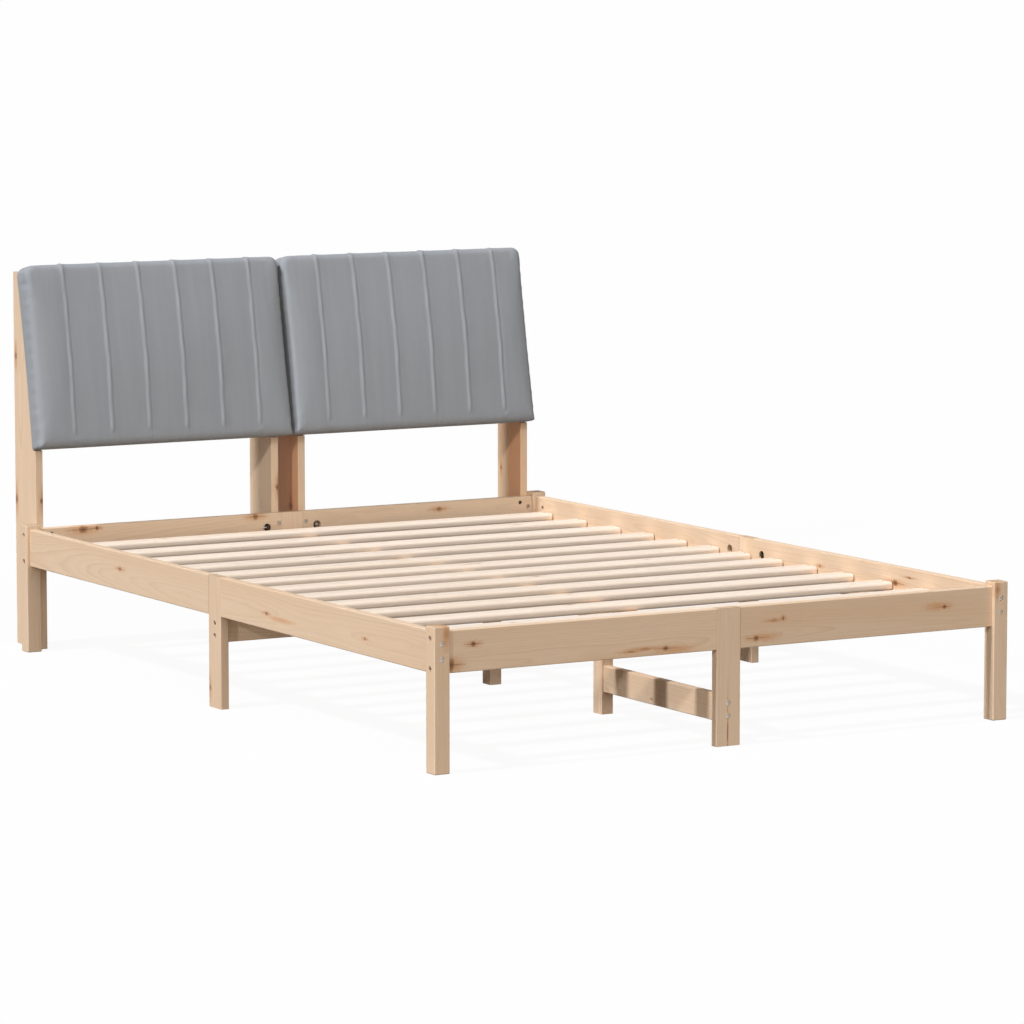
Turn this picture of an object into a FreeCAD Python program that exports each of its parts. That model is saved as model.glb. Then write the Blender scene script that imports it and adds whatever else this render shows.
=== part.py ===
import FreeCAD, Part
import math
import os

os.makedirs("parts", exist_ok=True)

# Double bed frame in solid pine with a two-cushion headboard.
# Lengths are in millimetres: X runs across the bed, Y from foot to head and Z up.
# The origin is on the floor, at the middle of the whole bed's outline.

# Base outline and rails
base_width = 1455
base_length = 2055
rail_top = 300
rail_height = 90
rail_thickness = 20
rail_edge_radius = 2.5

# Legs
leg_side = 37
leg_height = 310
leg_edge_radius = 2.5
plank_edge_radius = 1.5
mid_leg_width = 60
centre_leg_width = 30
centre_leg_depth = 37
quarter_leg_share = 0.5

# Slats, counted outwards from the bed's middle as shares of half the inner length
slat_offset_shares = (0, 0.14, 0.286, 0.438, 0.596, 0.76, 0.93)
slat_width = 54
slat_thickness = 19
slat_edge_radius = 8
slat_drop = 36
slat_end_clearance = 3

# Slat ledges on the side rails and the beam under the slats' middle
ledge_thickness = 20
ledge_height = 25
ledge_corner_gap = 41
ledge_middle_gap = 2
beam_width = 34
beam_height = 33

# Stretchers between the legs
stretcher_thickness = 20
stretcher_height = 60
long_stretcher_bottom = 50
cross_stretcher_drop = 3

# Headboard uprights
upright_thickness = 20
upright_depth = 118
upright_toe = 17
upright_floor_gap = 4
upright_top = 915
upright_top_depth = 28
upright_leg_clearance = 0.5
upright_edge_radius = 2
centre_upright_step = 7.5
shoulder_height = 487
shoulder_depth = 9

# Headboard cushions and the boards inside them
cushion_overhang = 4
cushion_rise = 11
cushion_thickness = 57
cushion_round = 20
cushion_gap = 6
cushion_seat_clearance = 0.5
cushion_crown = 4
cushion_draw = 3
cushion_round_steps = 4
crown_station_shares = (0.05, 0.25, 0.5, 0.75, 0.95)
seam_count = 6
seam_pitch_share = 0.146
channel_depth = 4
channel_end_share = 0.15
backing_thickness = 12
backing_margin = 4
backing_clearance = 0.3
cushion_bolt_shares = (0.2, 0.8)
insert_diameter = 10
insert_length = 10

# Bolts, studs and cross nuts
bolt_diameter = 6
bolt_clearance = 0.4
bolt_head_diameter = 11
bolt_head_height = 4
bolt_head_clearance = 1
bolt_socket_width = 5
bolt_socket_depth = 2.5
bolt_recess = 6
bolt_tip = 8
nut_diameter = 10
nut_length = 13
nut_clearance = 0.3
moon_nut_diameter = 21
moon_nut_flat = 2.5
thread_clearance = 0.1
corner_nut_setback = 33
stud_nut_setback = 40
stretcher_nut_setback = 33
upright_nut_setback = 30

# Bolt heights above the rail's lower edge, and the bolt pairs' spacings
end_bolt_low = 11
end_bolt_spacing = 64
side_bolt_low = 31.5
side_bolt_spacing = 32
stud_low = 12
stud_spacing = 42
stretcher_bolt_spacing = 28

# Screws and dowels
screw_diameter = 4
screw_clearance = 0.3
screw_head_diameter = 8
screw_head_height = 2.5
slat_screw_length = 30
ledge_screw_length = 32
ledge_screw_shares = (0.1, 0.28, 0.62, 0.9)
dowel_diameter = 8
dowel_length = 30
dowel_clearance = 0.2

# Cutting tools run past the face they start from by this much
cut_overrun = 1

# An edge counts as running along an axis above this cosine
parallel_share = 0.99

# Derived positions
rail_inset = (leg_side - rail_thickness) / 2
total_length = base_length - rail_inset + upright_depth
half_width = base_width / 2
foot_y = -total_length / 2
head_y = foot_y + base_length
middle_y = (foot_y + head_y) / 2
rail_bottom = rail_top - rail_height
slat_top = rail_top - slat_drop
slat_bottom = slat_top - slat_thickness
beam_bottom = slat_bottom - beam_height
side_inner_x = half_width - rail_inset - rail_thickness
foot_inner_y = foot_y + rail_inset + rail_thickness
head_inner_y = head_y - rail_inset - rail_thickness
head_back_y = head_y - rail_inset
upright_back_y = head_back_y + upright_depth
half_inner_length = (head_inner_y - foot_inner_y) / 2
cross_stretcher_top = beam_bottom - cross_stretcher_drop
cross_stretcher_bottom = cross_stretcher_top - stretcher_height
end_bolt_heights = (rail_bottom + end_bolt_low, rail_bottom + end_bolt_low + end_bolt_spacing)
side_bolt_heights = (rail_bottom + side_bolt_low, rail_bottom + side_bolt_low + side_bolt_spacing)
stud_heights = (rail_bottom + stud_low, rail_bottom + stud_low + stud_spacing)
outer_upright_x = half_width - leg_side - upright_leg_clearance - upright_thickness / 2
centre_upright_x = mid_leg_width / 2 + centre_upright_step
cushion_outer_x = outer_upright_x + upright_thickness / 2 + cushion_overhang
cushion_width = cushion_outer_x - cushion_gap / 2
cushion_middle_x = cushion_outer_x - cushion_width / 2
seam_pitch = cushion_width * seam_pitch_share

x_axis = FreeCAD.Vector(1, 0, 0)
y_axis = FreeCAD.Vector(0, 1, 0)
z_axis = FreeCAD.Vector(0, 0, 1)
sides = (("left", -1), ("right", 1))
ends = (("foot", -1), ("head", 1))

# Wooden and soft pieces by name, the tools that drill each one, and the groups of fasteners
pieces = {}
drills = {}
fasteners = {}


def vector(x, y, z):
    return FreeCAD.Vector(x, y, z)


def block(one, other):
    """Box between two opposite corners, given in either order."""
    low = vector(min(one.x, other.x), min(one.y, other.y), min(one.z, other.z))
    high = vector(max(one.x, other.x), max(one.y, other.y), max(one.z, other.z))
    size = high.sub(low)
    return Part.makeBox(size.x, size.y, size.z, low)


def rounded(solid, axes, radius):
    """Round every straight edge that runs along one of the axes."""
    edges = []
    for edge in solid.Edges:
        direction = edge.tangentAt(edge.FirstParameter)
        if max(abs(direction.dot(axis)) for axis in axes) > parallel_share:
            edges.append(edge)
    return solid.makeFillet(radius, edges)


def rod(start, direction, length, diameter):
    return Part.makeCylinder(diameter / 2, length, start, direction)


def hexagon(start, direction, width, length):
    """Hexagonal prism, width measured across its flats."""
    across = direction.cross(x_axis)
    if across.Length < parallel_share / 2:
        across = direction.cross(y_axis)
    across.normalize()
    upright = direction.cross(across)
    corner = width / math.sqrt(3)
    points = []
    for step in range(7):
        turn = step * math.pi / 3
        points.append(start + across * (corner * math.cos(turn)) + upright * (corner * math.sin(turn)))
    return Part.Face(Part.makePolygon(points)).extrude(direction * length)


def add_piece(name, solid):
    pieces[name] = solid
    drills[name] = []


def add_fastener(group, solid):
    fasteners.setdefault(group, []).append(solid)


def drill(names, tool):
    for name in names:
        drills[name].append(tool)


def make_bolt(seat, direction, length):
    """Socket-head bolt whose head rests on the seat."""
    top = seat - direction * bolt_head_height
    shank = rod(seat, direction, length, bolt_diameter)
    head = rod(top, direction, bolt_head_height, bolt_head_diameter)
    socket = hexagon(top, direction, bolt_socket_width, bolt_socket_depth)
    return shank.fuse(head).removeSplitter().cut(socket)


def drill_bolt(names, seat, direction, length):
    """Bore for the shank and a recess for the head."""
    bore = rod(seat, direction, length + bolt_clearance, bolt_diameter + bolt_clearance)
    recess_length = bolt_recess + cut_overrun
    recess = rod(seat, -direction, recess_length, bolt_head_diameter + bolt_head_clearance)
    drill(names, bore)
    drill(names, recess)


def add_nut(name, centre, mouth, half_thickness, bolt_axis):
    """Cross nut in a blind hole that opens towards the mouth direction."""
    start = centre - mouth * (nut_length / 2)
    nut = rod(start, mouth, nut_length, nut_diameter)
    thread_start = centre - bolt_axis * nut_diameter
    thread = rod(thread_start, bolt_axis, nut_diameter * 2, bolt_diameter + thread_clearance)
    add_fastener("cross_nuts", nut.cut(thread))
    hole_start = centre - mouth * (nut_length / 2 + nut_clearance)
    hole_length = nut_length / 2 + nut_clearance + half_thickness + cut_overrun
    drill((name,), rod(hole_start, mouth, hole_length, nut_diameter + nut_clearance))


def add_moon_nut(name, centre, mouth, half_thickness, away):
    """Half-moon nut on the joint's side of a round blind hole that opens towards the mouth direction."""
    start = centre - mouth * (nut_length / 2)
    disc = rod(start, mouth, nut_length, moon_nut_diameter)
    across = mouth.cross(away)
    corner = start - mouth * cut_overrun - away * moon_nut_flat - across * moon_nut_diameter
    points = [
        corner,
        corner + across * (moon_nut_diameter * 2),
        corner + across * (moon_nut_diameter * 2) + away * moon_nut_diameter,
        corner + away * moon_nut_diameter,
        corner,
    ]
    free_half = Part.Face(Part.makePolygon(points)).extrude(mouth * (nut_length + cut_overrun * 2))
    thread = rod(centre - away * moon_nut_diameter, away, moon_nut_diameter, bolt_diameter + thread_clearance)
    add_fastener("cross_nuts", disc.cut(free_half).cut(thread))
    hole_start = centre - mouth * (nut_length / 2 + nut_clearance)
    hole_length = nut_length / 2 + nut_clearance + half_thickness + cut_overrun
    drill((name,), rod(hole_start, mouth, hole_length, moon_nut_diameter + nut_clearance))


def add_bolt(group, outer, inner, face, direction, outer_thickness, setback, mouth, half_thickness):
    """Bolt from the outer piece's face, through it and into a cross nut in the inner piece."""
    seat = face + direction * bolt_recess
    grip = outer_thickness - bolt_recess
    length = grip + setback + bolt_tip
    add_fastener(group, make_bolt(seat, direction, length))
    drill_bolt((outer, inner), seat, direction, length)
    add_nut(inner, seat + direction * (grip + setback), mouth, half_thickness, direction)


def add_stud(through, pair, middle, axis, half_through, setback, mouth, half_thickness, moon=False):
    """Threaded stud through one piece, with a round or half-moon cross nut in the piece on each side of it."""
    half_length = half_through + setback + bolt_tip
    add_fastener("studs", rod(middle - axis * half_length, axis, half_length * 2, bolt_diameter))
    bore_half = half_length + bolt_clearance
    bore = rod(middle - axis * bore_half, axis, bore_half * 2, bolt_diameter + bolt_clearance)
    drill((through,) + pair, bore)
    for name, sign in zip(pair, (-1, 1)):
        centre = middle + axis * (sign * (half_through + setback))
        if moon:
            add_moon_nut(name, centre, mouth, half_thickness, axis * sign)
        else:
            add_nut(name, centre, mouth, half_thickness, axis)


def add_screw(group, names, head_face, direction, length):
    """Countersunk screw with its head flush with the face."""
    head = Part.makeCone(screw_head_diameter / 2, screw_diameter / 2, screw_head_height, head_face, direction)
    shank = rod(head_face, direction, length, screw_diameter)
    add_fastener(group, head.fuse(shank).removeSplitter())
    wide = screw_head_diameter / 2 + screw_clearance
    narrow = screw_diameter / 2 + screw_clearance
    sink = Part.makeCone(wide, narrow, screw_head_height, head_face, direction)
    bore = rod(head_face, direction, length + screw_clearance, screw_diameter + screw_clearance)
    mouth = rod(head_face, -direction, cut_overrun, wide * 2)
    for tool in (sink, bore, mouth):
        drill(names, tool)


def add_dowel(names, joint, axis):
    """Dowel centred on the joint face between two pieces."""
    half = dowel_length / 2
    add_fastener("beam_dowels", rod(joint - axis * half, axis, dowel_length, dowel_diameter))
    hole_half = half + dowel_clearance
    drill(names, rod(joint - axis * hole_half, axis, hole_half * 2, dowel_diameter + dowel_clearance))


# Corner legs
for end, end_sign in ends:
    for side, side_sign in sides:
        outer_x = side_sign * half_width
        outer_y = foot_y if end == "foot" else head_y
        outer_corner = vector(outer_x, outer_y, 0)
        inner_corner = vector(outer_x - side_sign * leg_side, outer_y - end_sign * leg_side, leg_height)
        leg = rounded(block(outer_corner, inner_corner), (x_axis, y_axis, z_axis), leg_edge_radius)
        add_piece("leg_" + end + "_" + side, leg)

# Plank mid-legs, flush with the rails' outer faces
side_mid_x = half_width - rail_inset
end_mid_y = {"foot": foot_y + rail_inset, "head": head_back_y}
for side, side_sign in sides:
    outer_corner = vector(side_sign * side_mid_x, middle_y - mid_leg_width / 2, 0)
    inner_x = side_sign * (side_mid_x - rail_thickness)
    inner_corner = vector(inner_x, middle_y + mid_leg_width / 2, rail_top)
    plank = rounded(block(outer_corner, inner_corner), (z_axis,), plank_edge_radius)
    add_piece("mid_leg_" + side, plank)
for end, end_sign in ends:
    outer_corner = vector(-mid_leg_width / 2, end_mid_y[end], 0)
    inner_y = end_mid_y[end] - end_sign * rail_thickness
    inner_corner = vector(mid_leg_width / 2, inner_y, rail_top)
    plank = rounded(block(outer_corner, inner_corner), (z_axis,), plank_edge_radius)
    add_piece("mid_leg_" + end, plank)

# Rails, each in two halves that butt against a corner leg and a mid-leg
for side, side_sign in sides:
    for end, end_sign in ends:
        leg_face_y = (foot_y if end == "foot" else head_y) - end_sign * leg_side
        mid_face_y = middle_y + end_sign * mid_leg_width / 2
        one = vector(side_sign * side_inner_x, leg_face_y, rail_bottom)
        other = vector(side_sign * side_mid_x, mid_face_y, rail_top)
        add_piece("side_rail_" + side + "_" + end, rounded(block(one, other), (y_axis,), rail_edge_radius))
for end, end_sign in ends:
    for side, side_sign in sides:
        leg_face_x = side_sign * (half_width - leg_side)
        mid_face_x = side_sign * mid_leg_width / 2
        one = vector(leg_face_x, end_mid_y[end], rail_bottom)
        other = vector(mid_face_x, end_mid_y[end] - end_sign * rail_thickness, rail_top)
        add_piece(end + "_rail_" + side, rounded(block(one, other), (x_axis,), rail_edge_radius))

# Centre legs under the beam
quarter_leg_offset = quarter_leg_share * half_inner_length
centre_leg_y = {
    "foot": middle_y - quarter_leg_offset,
    "middle": middle_y,
    "head": middle_y + quarter_leg_offset,
}
for place, leg_y in centre_leg_y.items():
    one = vector(-centre_leg_width / 2, leg_y - centre_leg_depth / 2, 0)
    other = vector(centre_leg_width / 2, leg_y + centre_leg_depth / 2, beam_bottom)
    add_piece("centre_leg_" + place, rounded(block(one, other), (z_axis,), plank_edge_radius))

# Centre beam halves, from the end mid-legs to the middle centre leg
end_leg_inner_y = {
    "foot": end_mid_y["foot"] + rail_thickness,
    "head": end_mid_y["head"] - rail_thickness,
}
for end, end_sign in ends:
    one = vector(-beam_width / 2, end_leg_inner_y[end], beam_bottom)
    other = vector(beam_width / 2, middle_y, slat_bottom)
    add_piece("centre_beam_" + end, rounded(block(one, other), (y_axis,), plank_edge_radius))
    end_joint = vector(0, end_leg_inner_y[end], (stud_heights[0] + stud_heights[1]) / 2)
    add_dowel(("centre_beam_" + end, "mid_leg_" + end), end_joint, y_axis)
    add_dowel(("centre_beam_" + end, "centre_leg_" + end), vector(0, centre_leg_y[end], beam_bottom), z_axis)
    shared_y = middle_y + end_sign * centre_leg_depth / 4
    add_dowel(("centre_beam_" + end, "centre_leg_middle"), vector(0, shared_y, beam_bottom), z_axis)

# Low lengthwise stretchers and the cross stretchers
for end, end_sign in ends:
    leg_face_y = centre_leg_y[end] + end_sign * centre_leg_depth / 2
    one = vector(-stretcher_thickness / 2, end_leg_inner_y[end], long_stretcher_bottom)
    other = vector(stretcher_thickness / 2, leg_face_y, long_stretcher_bottom + stretcher_height)
    add_piece("long_stretcher_" + end, rounded(block(one, other), (y_axis,), rail_edge_radius))
mid_leg_inner_x = side_mid_x - rail_thickness
for side, side_sign in sides:
    one = vector(side_sign * mid_leg_inner_x, middle_y - stretcher_thickness / 2, cross_stretcher_bottom)
    other = vector(side_sign * centre_leg_width / 2, middle_y + stretcher_thickness / 2, cross_stretcher_top)
    add_piece("cross_stretcher_" + side, rounded(block(one, other), (x_axis,), rail_edge_radius))

# Slat ledges on the side rails' inner faces
for side, side_sign in sides:
    for end, end_sign in ends:
        leg_face_y = (foot_y if end == "foot" else head_y) - end_sign * leg_side
        outer_end_y = leg_face_y - end_sign * ledge_corner_gap
        inner_end_y = middle_y + end_sign * ledge_middle_gap / 2
        one = vector(side_sign * side_inner_x, outer_end_y, slat_bottom - ledge_height)
        other = vector(side_sign * (side_inner_x - ledge_thickness), inner_end_y, slat_bottom)
        name = "slat_ledge_" + side + "_" + end
        add_piece(name, rounded(block(one, other), (y_axis,), plank_edge_radius))
        screw_x = side_sign * (side_inner_x - ledge_thickness)
        screw_z = slat_bottom - ledge_height / 2
        for share in ledge_screw_shares:
            screw_y = outer_end_y + (inner_end_y - outer_end_y) * share
            rail_name = "side_rail_" + side + "_" + end
            face = vector(screw_x, screw_y, screw_z)
            add_screw("ledge_screws", (name, rail_name), face, x_axis * side_sign, ledge_screw_length)

# Slats, numbered from the foot
slat_offsets = []
for share in slat_offset_shares:
    slat_offsets.append(share * half_inner_length)
    if share > 0:
        slat_offsets.append(-share * half_inner_length)
slat_half_length = side_inner_x - slat_end_clearance
for number, offset in enumerate(sorted(slat_offsets), 1):
    slat_y = middle_y + offset
    one = vector(-slat_half_length, slat_y - slat_width / 2, slat_bottom)
    other = vector(slat_half_length, slat_y + slat_width / 2, slat_top)
    name = "slat_%02d" % number
    add_piece(name, rounded(block(one, other), (x_axis,), slat_edge_radius))
    for side, side_sign in sides:
        ledges = []
        for end, end_sign in ends:
            if offset * end_sign > 0:
                ledges.append("slat_ledge_" + side + "_" + end)
        if offset == 0:
            ledges = ["slat_ledge_" + side + "_foot"]
            screw_y = slat_y - slat_width / 4
        else:
            screw_y = slat_y
        screw_x = side_sign * (side_inner_x - ledge_thickness / 2)
        face = vector(screw_x, screw_y, slat_top)
        add_screw("slat_screws", [name] + ledges, face, -z_axis, slat_screw_length)

# Bolts through the corner legs into the rails' ends
for end, end_sign in ends:
    for side, side_sign in sides:
        leg_name = "leg_" + end + "_" + side
        outer_y = foot_y if end == "foot" else head_y
        leg_x = side_sign * (half_width - leg_side / 2)
        leg_y = outer_y - end_sign * leg_side / 2
        for height in end_bolt_heights:
            face = vector(side_sign * half_width, leg_y, height)
            add_bolt(
                "corner_bolts", leg_name, end + "_rail_" + side, face, -x_axis * side_sign,
                leg_side, corner_nut_setback, -y_axis * end_sign, rail_thickness / 2,
            )
        for height in side_bolt_heights:
            face = vector(leg_x, outer_y, height)
            add_bolt(
                "corner_bolts", leg_name, "side_rail_" + side + "_" + end, face, -y_axis * end_sign,
                leg_side, corner_nut_setback, -x_axis * side_sign, rail_thickness / 2,
            )

# Studs through the mid-legs into the rail halves
for height in stud_heights:
    for side, side_sign in sides:
        pair = ("side_rail_" + side + "_foot", "side_rail_" + side + "_head")
        middle = vector(side_sign * (side_mid_x - rail_thickness / 2), middle_y, height)
        add_stud(
            "mid_leg_" + side, pair, middle, y_axis, mid_leg_width / 2,
            stud_nut_setback, -x_axis * side_sign, rail_thickness / 2, height == stud_heights[1],
        )
    for end, end_sign in ends:
        pair = (end + "_rail_left", end + "_rail_right")
        middle = vector(0, end_mid_y[end] - end_sign * rail_thickness / 2, height)
        add_stud(
            "mid_leg_" + end, pair, middle, x_axis, mid_leg_width / 2,
            stud_nut_setback, -y_axis * end_sign, rail_thickness / 2, height == stud_heights[1],
        )

# Stretcher bolts: from the mid-legs, from the quarter legs, and studs through the middle leg
cross_middle_z = (cross_stretcher_bottom + cross_stretcher_top) / 2
long_middle_z = long_stretcher_bottom + stretcher_height / 2
for bolt_sign in (-1, 1):
    cross_z = cross_middle_z + bolt_sign * stretcher_bolt_spacing / 2
    long_z = long_middle_z + bolt_sign * stretcher_bolt_spacing / 2
    for side, side_sign in sides:
        face = vector(side_sign * side_mid_x, middle_y, cross_z)
        add_bolt(
            "stretcher_bolts", "mid_leg_" + side, "cross_stretcher_" + side, face, -x_axis * side_sign,
            rail_thickness, stretcher_nut_setback, y_axis, stretcher_thickness / 2,
        )
    for end, end_sign in ends:
        face = vector(0, end_mid_y[end], long_z)
        add_bolt(
            "stretcher_bolts", "mid_leg_" + end, "long_stretcher_" + end, face, -y_axis * end_sign,
            rail_thickness, stretcher_nut_setback, x_axis, stretcher_thickness / 2,
        )
        face = vector(0, centre_leg_y[end] - end_sign * centre_leg_depth / 2, long_z)
        add_bolt(
            "stretcher_bolts", "centre_leg_" + end, "long_stretcher_" + end, face, y_axis * end_sign,
            centre_leg_depth, stretcher_nut_setback, x_axis, stretcher_thickness / 2,
        )
    add_stud(
        "centre_leg_middle", ("cross_stretcher_left", "cross_stretcher_right"), vector(0, middle_y, cross_z),
        x_axis, centre_leg_width / 2, stretcher_nut_setback, y_axis, stretcher_thickness / 2,
    )

# Headboard uprights with a shoulder and a slanted edge for the cushion.
# The outer pair also have a toe under the head rail, where the centre pair clear the mid-leg.
slant_foot_y = head_back_y + shoulder_depth
slant_top_y = upright_back_y - upright_top_depth
slant = vector(0, slant_top_y - slant_foot_y, upright_top - shoulder_height)
cushion_height = slant.Length - cushion_seat_clearance + cushion_rise
slant.normalize()
slant_normal = vector(0, -slant.z, slant.y)
toe_y = head_back_y - upright_toe
straight_foot = [(head_back_y, upright_floor_gap)]
toe_foot = [(toe_y, upright_floor_gap), (toe_y, rail_bottom), (head_back_y, rail_bottom)]
upper_outline = [
    (head_back_y, shoulder_height),
    (slant_foot_y, shoulder_height),
    (slant_top_y, upright_top),
    (upright_back_y, upright_top),
    (upright_back_y, upright_floor_gap),
]
upright_places = {
    "upright_left": -outer_upright_x,
    "upright_centre_left": -centre_upright_x,
    "upright_centre_right": centre_upright_x,
    "upright_right": outer_upright_x,
}
for name, upright_x in upright_places.items():
    foot_outline = toe_foot if abs(upright_x) == outer_upright_x else straight_foot
    outline = foot_outline + upper_outline + foot_outline[:1]
    points = [vector(upright_x - upright_thickness / 2, y, z) for y, z in outline]
    board = Part.Face(Part.makePolygon(points)).extrude(x_axis * upright_thickness)
    add_piece(name, rounded(board, (z_axis,), upright_edge_radius))
    rail_name = "head_rail_left" if upright_x < 0 else "head_rail_right"
    inward = -x_axis if upright_x > 0 else x_axis
    for height in side_bolt_heights:
        face = vector(upright_x, head_inner_y, height)
        add_bolt(
            "upright_bolts", rail_name, name, face, y_axis,
            rail_thickness, upright_nut_setback, inward, upright_thickness / 2,
        )


def on_slant(x, out, up):
    """Point by its X, its distance out from the slanted edge and its height along it."""
    return vector(x, slant_foot_y, shoulder_height) + slant_normal * out + slant * up


def plate(middle_x, half, low, high, radius, back, front):
    """Flat board with rounded corners, lying along the slanted edge."""
    bend = radius * (1 - math.sqrt(0.5))
    corners = (
        (half - radius, low, half - bend, low + bend, half, low + radius),
        (half, high - radius, half - bend, high - bend, half - radius, high),
        (radius - half, high, bend - half, high - bend, -half, high - radius),
        (-half, low + radius, bend - half, low + bend, radius - half, low),
    )
    edges = []
    last = on_slant(middle_x + radius - half, back, low)
    for start_x, start_up, bend_x, bend_up, end_x, end_up in corners:
        start = on_slant(middle_x + start_x, back, start_up)
        turn = on_slant(middle_x + bend_x, back, bend_up)
        finish = on_slant(middle_x + end_x, back, end_up)
        edges.append(Part.makeLine(last, start))
        edges.append(Part.Arc(start, turn, finish).toShape())
        last = finish
    return Part.Face(Part.Wire(edges)).extrude(slant_normal * (front - back))


def cushion_section(middle_x, up, narrowing, thickness, tuck):
    """Outline across the cushion at one height: flat back, round sides and arched channels."""
    half = cushion_width / 2 - narrowing
    bend = cushion_round * (1 - math.sqrt(0.5))
    shelf = thickness - cushion_round
    seams = [(number - (seam_count - 1) / 2) * seam_pitch for number in range(seam_count)]
    valley = thickness - tuck
    stops = [(cushion_round - half, thickness)]
    stops += [(seam, valley) for seam in seams]
    stops += [(half - cushion_round, thickness)]

    def point(x, out):
        return on_slant(middle_x + x, out, up)

    edges = [Part.makeLine(point(half, 0), point(-half, 0))]
    edges.append(Part.makeLine(point(-half, 0), point(-half, shelf)))
    left_bend = point(bend - half, thickness - bend)
    edges.append(Part.Arc(point(-half, shelf), left_bend, point(cushion_round - half, thickness)).toShape())
    for (start_x, start_out), (end_x, end_out) in zip(stops, stops[1:]):
        crest_out = (start_out + end_out) / 2 + tuck * (end_x - start_x) / seam_pitch
        crest = point((start_x + end_x) / 2, crest_out)
        edges.append(Part.Arc(point(start_x, start_out), crest, point(end_x, end_out)).toShape())
    right_bend = point(half - bend, thickness - bend)
    edges.append(Part.Arc(point(half - cushion_round, thickness), right_bend, point(half, shelf)).toShape())
    edges.append(Part.makeLine(point(half, shelf), point(half, 0)))
    return Part.Wire(edges)


def cushion_stations():
    """Height, narrowing, thickness and tuck depth of each outline from the cushion's foot to its top."""
    stations = []
    end_tuck = channel_depth * channel_end_share
    for step in range(cushion_round_steps + 1):
        turn = step * math.pi / 2 / cushion_round_steps
        reach = cushion_round * (1 - math.cos(turn))
        draw = cushion_round * (1 - math.sin(turn))
        stations.append((reach, draw, cushion_thickness - draw, end_tuck))
    between = cushion_height - cushion_round * 2
    middle = []
    for share in crown_station_shares:
        swell = math.sin(math.pi * share)
        up = cushion_round + between * share
        middle.append((up, cushion_draw * swell, cushion_thickness + cushion_crown * swell, channel_depth))
    upper = [(cushion_height - up, draw, thick, tuck) for up, draw, thick, tuck in reversed(stations)]
    return stations + middle + upper


# Headboard cushions with their boards, bolted from the uprights' back edges
for side, side_sign in sides:
    middle_x = side_sign * cushion_middle_x
    wires = []
    for up, narrowing, thickness, tuck in cushion_stations():
        wires.append(cushion_section(middle_x, up + cushion_seat_clearance, narrowing, thickness, tuck))
    pad = Part.makeLoft(wires, True, True)
    low = cushion_seat_clearance + backing_margin
    high = cushion_seat_clearance + cushion_height - backing_margin
    half = cushion_width / 2 - backing_margin
    radius = cushion_round - backing_margin
    backing_name = "backing_board_" + side
    add_piece(backing_name, plate(middle_x, half, low, high, radius, 0, backing_thickness))
    loose = backing_clearance
    pocket_floor = backing_thickness + loose
    pocket = plate(
        middle_x, half + loose, low - loose, high + loose, radius + loose, -cut_overrun, pocket_floor,
    )
    add_piece("cushion_" + side, pad.cut(pocket))

for name, upright_x in upright_places.items():
    backing_name = "backing_board_left" if upright_x < 0 else "backing_board_right"
    for share in cushion_bolt_shares:
        middle = on_slant(upright_x, 0, cushion_seat_clearance + cushion_height * share)
        run = (upright_back_y - middle.y) / -slant_normal.y
        seat = middle - slant_normal * (run - bolt_recess)
        length = run - bolt_recess + insert_length
        add_fastener("cushion_bolts", make_bolt(seat, slant_normal, length))
        drill_bolt((name,), seat, slant_normal, length)
        insert = rod(middle, slant_normal, insert_length, insert_diameter)
        thread = rod(middle, slant_normal, insert_length, bolt_diameter + thread_clearance)
        add_fastener("insert_nuts", insert.cut(thread))
        hole_start = middle - slant_normal * cut_overrun
        hole_length = insert_length + nut_clearance + cut_overrun
        drill((backing_name,), rod(hole_start, slant_normal, hole_length, insert_diameter + nut_clearance))

for name, solid in pieces.items():
    if drills[name]:
        solid = solid.cut(drills[name])
    solid.exportStep("parts/" + name + ".step")
for group, solids in fasteners.items():
    Part.makeCompound(solids).exportStep("parts/" + group + ".step")
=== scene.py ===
import math
import random

import bpy
import numpy as np
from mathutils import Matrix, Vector


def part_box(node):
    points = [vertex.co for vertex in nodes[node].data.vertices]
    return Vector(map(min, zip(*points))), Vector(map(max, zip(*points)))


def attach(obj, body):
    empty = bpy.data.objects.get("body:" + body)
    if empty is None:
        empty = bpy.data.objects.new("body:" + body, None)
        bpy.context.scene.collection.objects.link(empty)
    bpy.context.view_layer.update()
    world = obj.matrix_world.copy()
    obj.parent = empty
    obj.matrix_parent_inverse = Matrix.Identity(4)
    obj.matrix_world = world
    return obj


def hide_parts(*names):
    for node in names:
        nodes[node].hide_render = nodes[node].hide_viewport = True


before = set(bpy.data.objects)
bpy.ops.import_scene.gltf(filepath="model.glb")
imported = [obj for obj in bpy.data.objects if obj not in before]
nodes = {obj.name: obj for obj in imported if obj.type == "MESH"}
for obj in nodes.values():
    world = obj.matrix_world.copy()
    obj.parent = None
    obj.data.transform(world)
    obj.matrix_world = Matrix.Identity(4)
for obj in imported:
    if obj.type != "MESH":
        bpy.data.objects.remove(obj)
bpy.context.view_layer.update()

# Pine bed frame with a two-cushion headboard. Lengths are in metres, in the row frame.
scene = bpy.context.scene
white = (1.0, 1.0, 1.0)

# Camera
camera_place = (-5.6748, -9.93515, 1.7532)
camera_yaw = math.radians(30.1055)
camera_pitch = math.radians(6.7632)
camera_lens = 174.17
camera_sensor = 36
camera_reach = 600

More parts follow.
